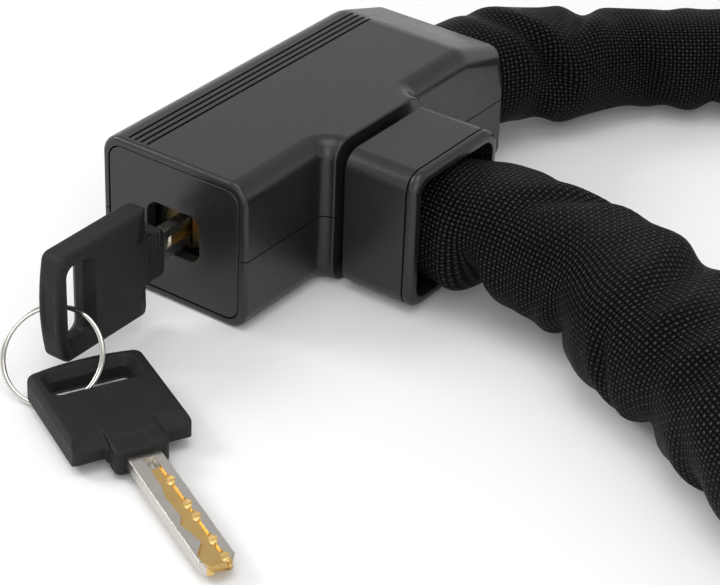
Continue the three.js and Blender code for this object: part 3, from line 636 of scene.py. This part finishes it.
def make_blade(number):
    """The nickelled blade, the same on both faces: a brass-floored milled track with sloped dimples."""
    root, w, t = BOW_NEAR + 0.3, BLADE_W / 2, BLADE_T / 2
    regular = np.arange(root, BLADE_TIP - 0.9, 0.45)
    track_end = (TRACK_START, TRACK_START + 0.3)
    tip = (BLADE_TIP - 2.3, BLADE_TIP - 0.9, BLADE_TIP - 0.45, BLADE_TIP)
    cut_ends = [c + e for c in CUTS for e in (-CUT_REACH, CUT_REACH) if c + e < BLADE_TIP]
    stations = sorted({*regular, *CUTS, *track_end, *tip, *cut_ends})
    left = np.array(TRACK_LEFT)
    rings = []
    for x in stations:
        open_track = TRACK_START + 0.15 < x
        notch = TRACK_START < x < TRACK_START + 3.0
        deep = (1.2 if notch else TRACK_DEPTH) if open_track else 0.0
        inner = float(np.interp(x, left[:, 0], left[:, 1]))
        bump = max([0.0, *(1 - abs(x - c) / CUT_REACH for c in CUTS)])
        outer = 1.7 + 1.1 * bump
        step = 0.9 if notch else 1.5 - 0.7 * bump
        narrow = w - max(0.0, x - (BLADE_TIP - 2.3)) * 0.75
        top = t - max(0.0, x - (BLADE_TIP - 0.9)) * 0.8
        edge = 0.16
        ys = [-narrow, -narrow + edge, inner - 0.12, inner + 0.12, step, outer, narrow - edge, narrow]
        zs = [top - edge, top, top, top - deep, top - deep, top, top, top - edge]
        ys = [min(max(y, -narrow), narrow) for y in ys]
        rings.append([(x, y, z) for y, z in zip(ys, zs)] + [(x, -y, -z) for y, z in zip(ys, zs)])
    size = len(rings[0])
    verts = [v for ring in rings for v in ring]
    faces, gold = [], []
    for i in range(len(rings) - 1):
        for j in range(size):
            k = (j + 1) % size
            faces.append((i * size + j, (i + 1) * size + j, (i + 1) * size + k, i * size + k))
            in_track = j % 8 in (2, 3, 4) and stations[i] >= TRACK_START + 2.9
            gold.append(in_track or stations[i] >= BLADE_TIP - 0.95)
    faces.append(tuple(range(size)))
    faces.append(tuple((len(rings) - 1) * size + j for j in reversed(range(size))))
    gold += [False, True]
    blade = new_piece(f"key_{number}_cut_blade", verts, faces, "nickel_blade", smooth=False)
    blade.data.materials.append(MATERIALS["blade_brass"])
    for polygon, is_gold in zip(blade.data.polygons, gold):
        polygon.material_index = int(is_gold)
    face_outwards(blade.data)
    blade.data.transform(key_frame(number))
    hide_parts(f"key_{number}_blade")
    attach(blade, f"key_{number}")


RING_TURNS = 1.93
RING_START = 2.6  # radians round, where the wire's outer end lies
RING_CROSS = (0.90, 0.16)  # turns: where the wire starts to cross to the other coil, and over how far
WIRE_ACROSS, WIRE_THROUGH = 0.56 * MM, 0.27 * MM  # half the flattened wire's width and thickness


def make_ring():
    """A split ring: nearly two turns of flattened spring wire, one lying on the other."""
    points = vertices_of("key_ring")
    centre = points.mean(0)
    normal = np.linalg.svd(points - centre)[2][2]
    radius = np.linalg.norm(points - centre, axis=1).mean()
    a = np.cross(normal, (0, 0, 1))
    a /= np.linalg.norm(a)
    b = np.cross(normal, a)
    steps, sides = 240, 10
    verts = []
    for i in range(steps + 1):
        turn = i / steps * RING_TURNS * 2 * math.pi
        crossing = min(max((turn / (2 * math.pi) - RING_CROSS[0]) / RING_CROSS[1], 0), 1)
        lift = WIRE_THROUGH * (2 * crossing**2 * (3 - 2 * crossing) - 1)
        out = math.cos(turn + RING_START) * a + math.sin(turn + RING_START) * b
        fine = min(1.0, 0.55 + 0.15 * min(i, steps - i))  # the wire thins at its two ends
        for k in range(sides):
            round_k = 2 * math.pi * k / sides
            across = WIRE_ACROSS * fine * math.cos(round_k)
            through = WIRE_THROUGH * fine * math.sin(round_k)
            verts.append(centre + out * (radius + across) + normal * (lift + through))
    faces = []
    for i in range(steps):
        for k in range(sides):
            n = (k + 1) % sides
            faces.append((i * sides + k, i * sides + n, (i + 1) * sides + n, (i + 1) * sides + k))
    faces.append(tuple(range(sides))[::-1])
    faces.append(tuple(steps * sides + k for k in range(sides)))
    ring = new_piece("split_ring", verts, faces, "ring_steel")
    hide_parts("key_ring")
    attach(ring, "ring")


# ---------------------------------------------------------------- stage


def area_light(name, at, towards, size, power, height=None):
    data = bpy.data.lights.new(name, "AREA")
    data.shape = "RECTANGLE"
    data.size = size
    data.size_y = height or size
    data.energy = power
    light = bpy.data.objects.new(name, data)
    bpy.context.scene.collection.objects.link(light)
    light.location = at
    light.rotation_euler = (Vector(towards) - Vector(at)).to_track_quat("-Z", "Y").to_euler()


def make_stage():
    reach = 4.0
    floor_z = -0.1 * MM  # just under the lock's flat bottom
    corners = [(-reach, -reach), (reach, -reach), (reach, reach), (-reach, reach)]
    mesh = bpy.data.meshes.new("floor")
    mesh.from_pydata([(x, y, floor_z) for x, y in corners], [], [(0, 1, 2, 3)])
    floor = bpy.data.objects.new("floor", mesh)
    bpy.context.scene.collection.objects.link(floor)
    paint = Paint("pale_floor", Roughness=0.6, Specular_IOR_Level=0.2)
    cloud = paint.noise(paint.place(), 2.0)
    paint.into("Base Color", paint.mix(cloud, grey(0.86), grey(0.9)))
    mesh.materials.append(paint.material)
    middle = (0, 0, 0.02)
    area_light("key_panel", (-0.95, -0.42, 0.78), middle, 0.55, 6.0, 0.4)
    area_light("front_fill", (0.75, -1.0, 0.75), middle, 1.0, 5.5)
    area_light("overhead", (0.1, -0.2, 1.2), middle, 0.8, 4.2)
    world = bpy.data.worlds.new("studio")
    world.use_nodes = True
    nodes, links = world.node_tree.nodes, world.node_tree.links
    place = nodes.new("ShaderNodeTexCoord")
    parts = nodes.new("ShaderNodeSeparateXYZ")
    sky = nodes.new("ShaderNodeMapRange")
    sky.inputs["From Max"].default_value = 0.6
    sky.inputs["To Min"].default_value = 1.15
    sky.inputs["To Max"].default_value = 0.6
    links.new(place.outputs["Generated"], parts.inputs[0])
    links.new(parts.outputs["Z"], sky.inputs["Value"])
    links.new(sky.outputs["Result"], nodes["Background"].inputs["Strength"])
    nodes["Background"].inputs["Color"].default_value = grey(1.0)
    bpy.context.scene.world = world
    bpy.context.scene.view_settings.view_transform = "Standard"


# ---------------------------------------------------------------- assembly


def dress_cad():
    """Every CAD piece takes its slot's material."""
    for part in frame["record"]["subparts"]:
        mesh_object = frame["nodes"][part["node"]]
        mesh_object.data.materials.clear()
        mesh_object.data.materials.append(MATERIALS[part["material_slot"]])


make_camera()
MATERIALS = make_materials()
dress_cad()
make_sleeve()
for plastic_node, edge_width in (
    ("upper_shell", 0.45), ("lower_shell", 0.45), ("front_plate", 0.35),
    ("collar_body", 0.4), ("collar_rim", 0.4),
):
    refine(plastic_node, edge_width * MM)
for key_number in (1, 2):
    make_bow(key_number)
    make_blade(key_number)
make_ring()
make_stage()
